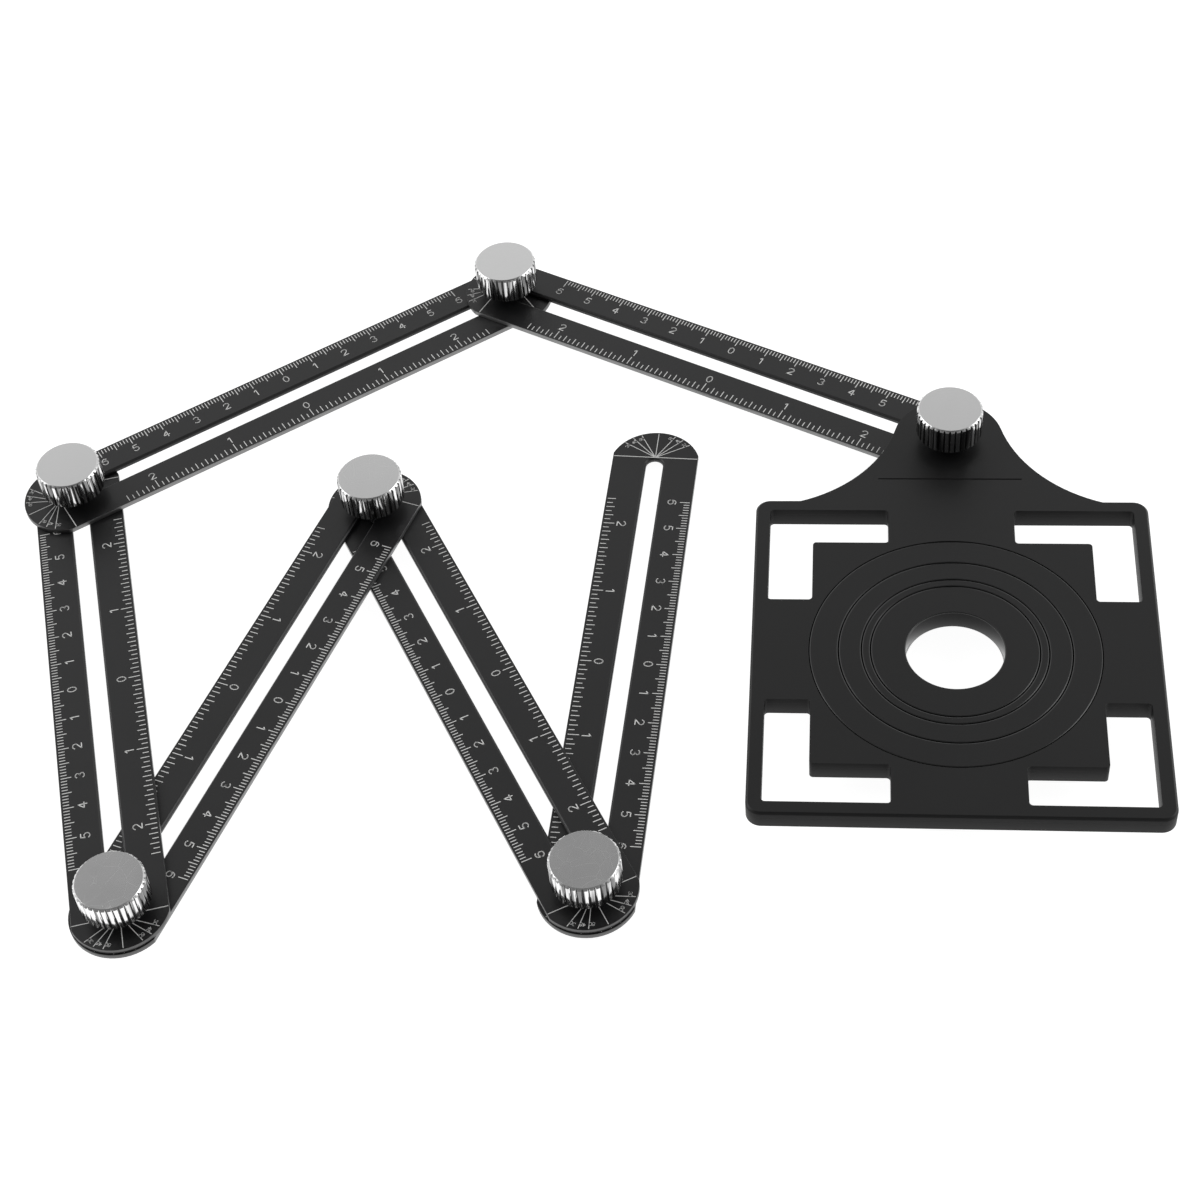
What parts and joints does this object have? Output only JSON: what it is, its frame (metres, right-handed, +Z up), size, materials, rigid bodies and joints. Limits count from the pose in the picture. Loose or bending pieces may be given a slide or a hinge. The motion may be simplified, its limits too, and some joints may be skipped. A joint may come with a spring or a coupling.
{
  "type": "multi-angle folding ruler",
  "caption": "Folding ruler of slotted arms clamped by knurled knobs, with a square hole guide that has nested rings.",
  "frame": {"origin": "on the axis of the guide's bore, in the plane of the guide's underside", "axes": "+X along the guide's front edge, +Y from the guide's centre towards its bolt, +Z up along the bore"},
  "size_m": [0.3213, 0.2528, 0.0258],
  "materials": {
    "guide": "satin black moulding",
    "rings": "satin black moulding",
    "arms": "black anodised, printed scales",
    "bolts": "zinc plated",
    "knobs": "chrome plated, satin top"
  },
  "bodies": {
    "guide_plate": {"guide_plate": "guide"},
    "outer_ring": {"outer_ring": "rings"},
    "second_ring": {"second_ring": "rings"},
    "third_ring": {"third_ring": "rings"},
    "inner_ring": {"inner_ring": "rings"},
    "arm_1": {"arm_1": "arms"},
    "arm_2": {"arm_2": "arms"},
    "arm_3": {"arm_3": "arms"},
    "arm_4": {"arm_4": "arms"},
    "arm_5": {"arm_5": "arms"},
    "arm_6": {"arm_6": "arms"},
    "bolt_guide": {"bolt_guide": "bolts"},
    "bolt_12": {"bolt_12": "bolts"},
    "bolt_23": {"bolt_23": "bolts"},
    "bolt_34": {"bolt_34": "bolts"},
    "bolt_45": {"bolt_45": "bolts"},
    "bolt_56": {"bolt_56": "bolts"},
    "knob_guide": {"knob_guide": "knobs"},
    "knob_12": {"knob_12": "knobs"},
    "knob_23": {"knob_23": "knobs"},
    "knob_34": {"knob_34": "knobs"},
    "knob_45": {"knob_45": "knobs"},
    "knob_56": {"knob_56": "knobs"}
  },
  "joints": [
    {"name": "bolt_23_slide", "type": "slide", "parent": "arm_3", "child": "bolt_23", "axis": [0.279, -0.9603, 0], "range_m": [0, 0.036]},
    {"name": "arm_2_fold", "type": "hinge", "parent": "bolt_23", "child": "arm_2", "pos_m": [-0.2523, 0.05906, -0.001], "axis": [0, 0, 1], "range_deg": [-15, 238]},
    {"name": "bolt_12_slide", "type": "slide", "parent": "arm_2", "child": "bolt_12", "axis": [-0.8151, -0.5793, 0], "range_m": [0, 0.036]},
    {"name": "arm_1_fold", "type": "hinge", "parent": "bolt_12", "child": "arm_1", "pos_m": [-0.13317, 0.14372, 0.00055], "axis": [0, 0, -1], "range_deg": [-229, 8]},
    {"name": "bolt_guide_slide", "type": "slide", "parent": "arm_1", "child": "bolt_guide", "axis": [-0.8965, 0.4431, 0], "range_m": [0, 0.0045]},
    {"name": "guide_fold", "type": "hinge", "parent": "bolt_guide", "child": "guide_plate", "pos_m": [0, 0.0779, 0.0021], "axis": [0, 0, 1], "range_deg": [-31, 157]},
    {"name": "arm_4_fold", "type": "hinge", "parent": "arm_3", "child": "bolt_34", "pos_m": [-0.21125, -0.08225, -0.00255], "axis": [0, 0, 1], "range_deg": [-248, 17]},
    {"name": "arm_4_slide", "type": "slide", "parent": "bolt_34", "child": "arm_4", "axis": [0.3173, 0.9483, 0], "range_m": [-0.1155, 0]},
    {"name": "arm_5_fold", "type": "hinge", "parent": "arm_4", "child": "bolt_45", "pos_m": [-0.1644, 0.05777, -0.0041], "axis": [0, 0, -1], "range_deg": [-9, 37]},
    {"name": "arm_5_slide", "type": "slide", "parent": "bolt_45", "child": "arm_5", "axis": [0.4833, -0.8755, 0], "range_m": [-0.074, 0]},
    {"name": "arm_6_fold", "type": "hinge", "parent": "arm_5", "child": "bolt_56", "pos_m": [-0.09319, -0.07123, -0.00565], "axis": [0, 0, 1], "range_deg": [-250, 23]},
    {"name": "arm_6_slide", "type": "slide", "parent": "bolt_56", "child": "arm_6", "axis": [-0.0576, -0.9983, 0], "range_m": [0, 0.148]},
    {"name": "knob_guide_turn", "type": "hinge", "parent": "bolt_guide", "child": "knob_guide", "pos_m": [0, 0.0779, 0.00605], "axis": [0, 0, 1], "continuous": true},
    {"name": "knob_12_turn", "type": "hinge", "parent": "bolt_12", "child": "knob_12", "pos_m": [-0.13317, 0.14372, 0.00365], "axis": [0, 0, 1], "continuous": true},
    {"name": "knob_23_turn", "type": "hinge", "parent": "bolt_23", "child": "knob_23", "pos_m": [-0.2523, 0.05906, 0.0021], "axis": [0, 0, 1], "continuous": true},
    {"name": "knob_34_turn", "type": "hinge", "parent": "bolt_34", "child": "knob_34", "pos_m": [-0.21125, -0.08225, 0.00055], "axis": [0, 0, 1], "continuous": true},
    {"name": "knob_45_turn", "type": "hinge", "parent": "bolt_45", "child": "knob_45", "pos_m": [-0.1644, 0.05777, -0.001], "axis": [0, 0, 1], "continuous": true},
    {"name": "knob_56_turn", "type": "hinge", "parent": "bolt_56", "child": "knob_56", "pos_m": [-0.09319, -0.07123, -0.00255], "axis": [0, 0, 1], "continuous": true},
    {"name": "outer_ring_lift", "type": "slide", "parent": "guide_plate", "child": "outer_ring", "axis": [0, 0, 1], "range_m": [0, 0.008]},
    {"name": "second_ring_lift", "type": "slide", "parent": "outer_ring", "child": "second_ring", "axis": [0, 0, 1], "range_m": [0, 0.008]},
    {"name": "third_ring_lift", "type": "slide", "parent": "second_ring", "child": "third_ring", "axis": [0, 0, 1], "range_m": [0, 0.008]},
    {"name": "inner_ring_lift", "type": "slide", "parent": "third_ring", "child": "inner_ring", "axis": [0, 0, 1], "range_m": [0, 0.008]}
  ]
}
